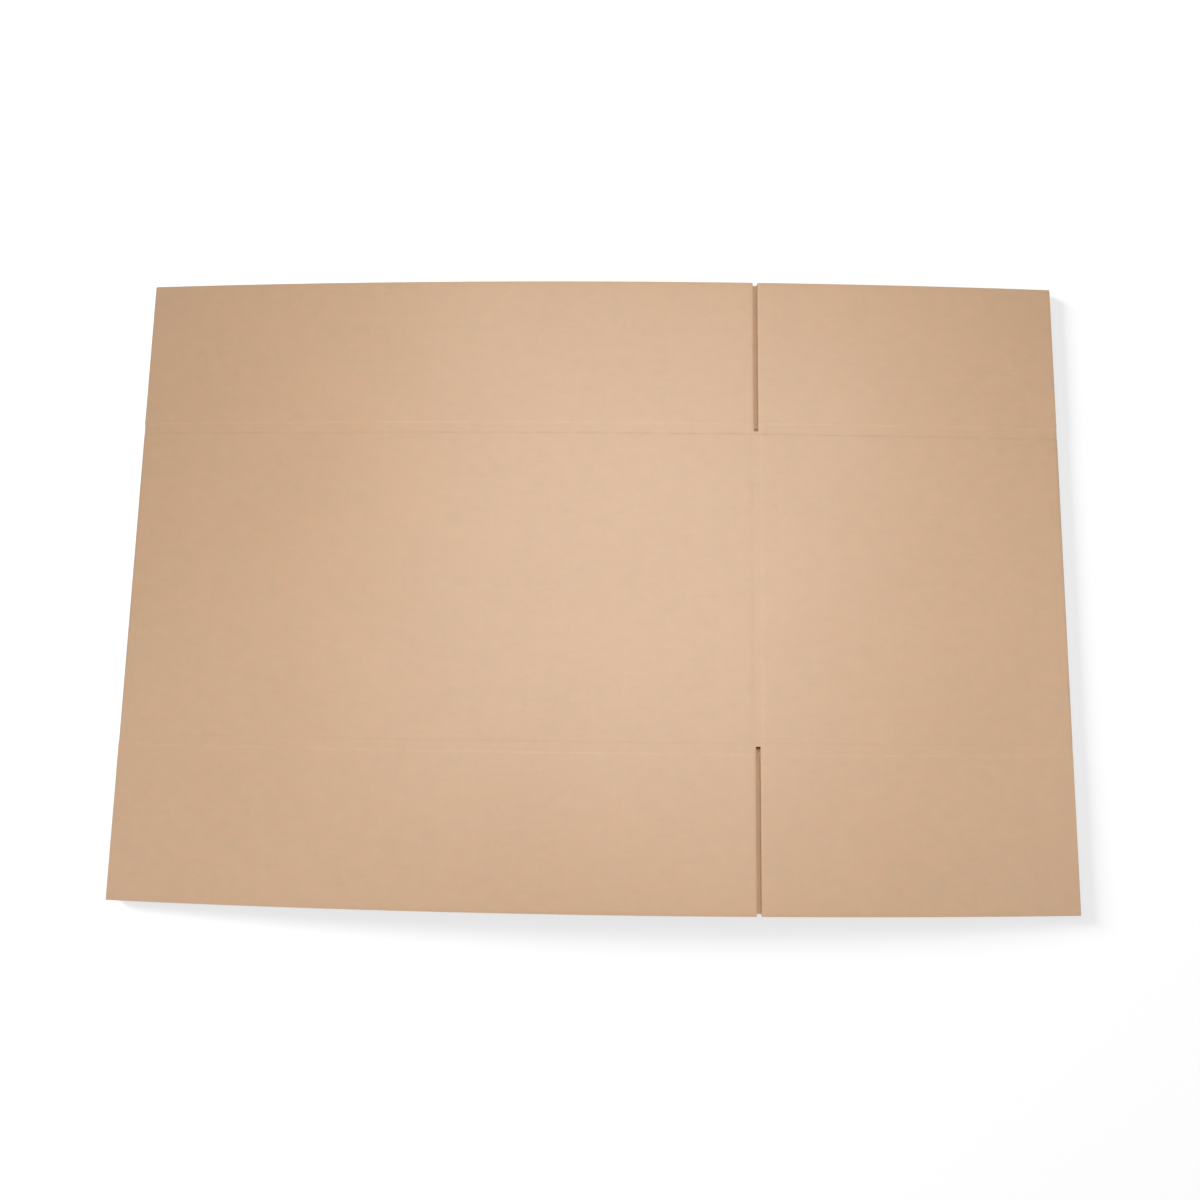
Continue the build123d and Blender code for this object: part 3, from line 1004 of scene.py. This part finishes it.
def make_floor(name, stage):
    """A flat square floor just under the box."""
    reach = stage.floor_reach
    mesh = bpy.data.meshes.new(name)
    corners = [(x * reach, y * reach, -FLOOR_DROP) for x, y in ((-1, -1), (1, -1), (1, 1), (-1, 1))]
    mesh.from_pydata(corners, [], [(0, 1, 2, 3)])
    mesh.materials.append(floor_material("white_floor", stage))
    floor = put(name, mesh)
    return floor


def make_world(name, sky):
    """A white room that lights the box only faintly."""
    world = bpy.data.worlds.new(name)
    tree = empty_tree(world)
    strength = calc(tree, "MAXIMUM", seen_directly(tree), sky)
    room = add(tree, "Background", {"Color": WHITE, "Strength": strength})
    add(tree, "OutputWorld", {"Surface": room.outputs[0]})
    bpy.context.scene.world = world


def make_camera(stage):
    """The camera at the photo's place, with its axis off the middle of the square image."""
    image, sensor, nearest = 1200.0, 36.0, 10 * MM
    data = bpy.data.cameras.new("camera")
    data.sensor_width = sensor
    data.lens = stage.focal_pixels / image * sensor
    data.shift_x = (image / 2 - stage.centre_x) / image
    data.shift_y = (stage.centre_y - image / 2) / image
    data.clip_start = nearest
    camera = put("camera", data)
    camera.location = stage.camera_place
    camera.rotation_euler = Euler(stage.camera_turn, "ZYX").to_matrix().to_euler()
    bpy.context.scene.camera = camera


class BOX_OT_outer_liner(bpy.types.Operator):
    """Make the paper on the outside of the folded sheet"""

    bl_idname = "box.outer_liner"
    bl_label = "Outer liner"

    def execute(self, context):
        shape = SheetShape(context.scene)
        material = paper_material("kraft_outside", shape.finish.face, shape, marks=True)
        make_liner(shape, "outer_liner", material, outside=True)
        return {"FINISHED"}


class BOX_OT_inner_liner(bpy.types.Operator):
    """Make the paper on the inside of the folded sheet"""

    bl_idname = "box.inner_liner"
    bl_label = "Inner liner"

    def execute(self, context):
        shape = SheetShape(context.scene)
        material = paper_material("kraft_inside", shape.finish.inside, shape, groove_shaded=True)
        make_liner(shape, "inner_liner", material, outside=False)
        return {"FINISHED"}


class BOX_OT_flute_medium(bpy.types.Operator):
    """Make the fluted paper between the liners"""

    bl_idname = "box.flute_medium"
    bl_label = "Fluted medium"

    def execute(self, context):
        shape = SheetShape(context.scene)
        material = paper_material("kraft_medium", shape.finish.core, shape, groove_shaded=True)
        make_medium(shape, "flute_medium", material)
        return {"FINISHED"}


class BOX_OT_slot_fibres(bpy.types.Operator):
    """Make the torn fibres at the slots' cut edges"""

    bl_idname = "box.slot_fibres"
    bl_label = "Slot fibres"

    def execute(self, context):
        shape = SheetShape(context.scene)
        # The fibres take the inner paper's colour, lightened as painted light.
        material = paper_material("torn_fibre", shape.finish.inside, shape)
        make_fibres(shape, "slot_fibres", material, context.scene.box_fibres)
        return {"FINISHED"}


class BOX_OT_stage(bpy.types.Operator):
    """Make the floor, lamps, world and camera"""

    bl_idname = "box.stage"
    bl_label = "Stage"

    def execute(self, context):
        scene, stage = context.scene, context.scene.box_stage
        floor = make_floor("floor", stage)
        make_lamp("soft_overhead", stage.lamp_place, stage.lamp_size, stage.lamp_watts)
        make_lamp("soft_left", stage.fill_place, stage.fill_size, stage.fill_watts)
        make_lamp("soft_right", stage.right_place, stage.fill_size, stage.right_watts)
        shade = make_lamp("soft_shadow", stage.shade_place, stage.shade_size, stage.shade_watts)
        only_floor = bpy.data.collections.new("shadow_floor")
        only_floor.objects.link(floor)
        shade.light_linking.receiver_collection = only_floor
        make_world("pale_room", stage.sky)
        make_camera(stage)
        scene.view_settings.view_transform = "Standard"
        return {"FINISHED"}


OPERATORS = (
    BOX_OT_outer_liner, BOX_OT_inner_liner, BOX_OT_flute_medium, BOX_OT_slot_fibres, BOX_OT_stage,
)


class BOX_PT_panel(bpy.types.Panel):
    """Sizes and pieces of the flattened box"""

    bl_idname = "BOX_PT_panel"
    bl_label = "Flattened box"
    bl_space_type = "VIEW_3D"
    bl_region_type = "UI"
    bl_category = "Box"

    def draw(self, context):
        for operator in OPERATORS:
            self.layout.operator(operator.bl_idname)
        for name, group in GROUPS.items():
            column = self.layout.column(heading=group.__doc__)
            for key in group.__annotations__:
                column.prop(getattr(context.scene, name), key)


CLASSES = (*GROUPS.values(), *OPERATORS, BOX_PT_panel)


def register():
    for cls in CLASSES:
        bpy.utils.register_class(cls)
    for name, group in GROUPS.items():
        setattr(bpy.types.Scene, name, PointerProperty(type=group))


def unregister():
    for name in GROUPS:
        delattr(bpy.types.Scene, name)
    for cls in reversed(CLASSES):
        bpy.utils.unregister_class(cls)


def main():
    register()
    bpy.ops.box.outer_liner()
    bpy.ops.box.inner_liner()
    bpy.ops.box.flute_medium()
    bpy.ops.box.slot_fibres()
    bpy.ops.box.stage()


if __name__ == "__main__":
    main()
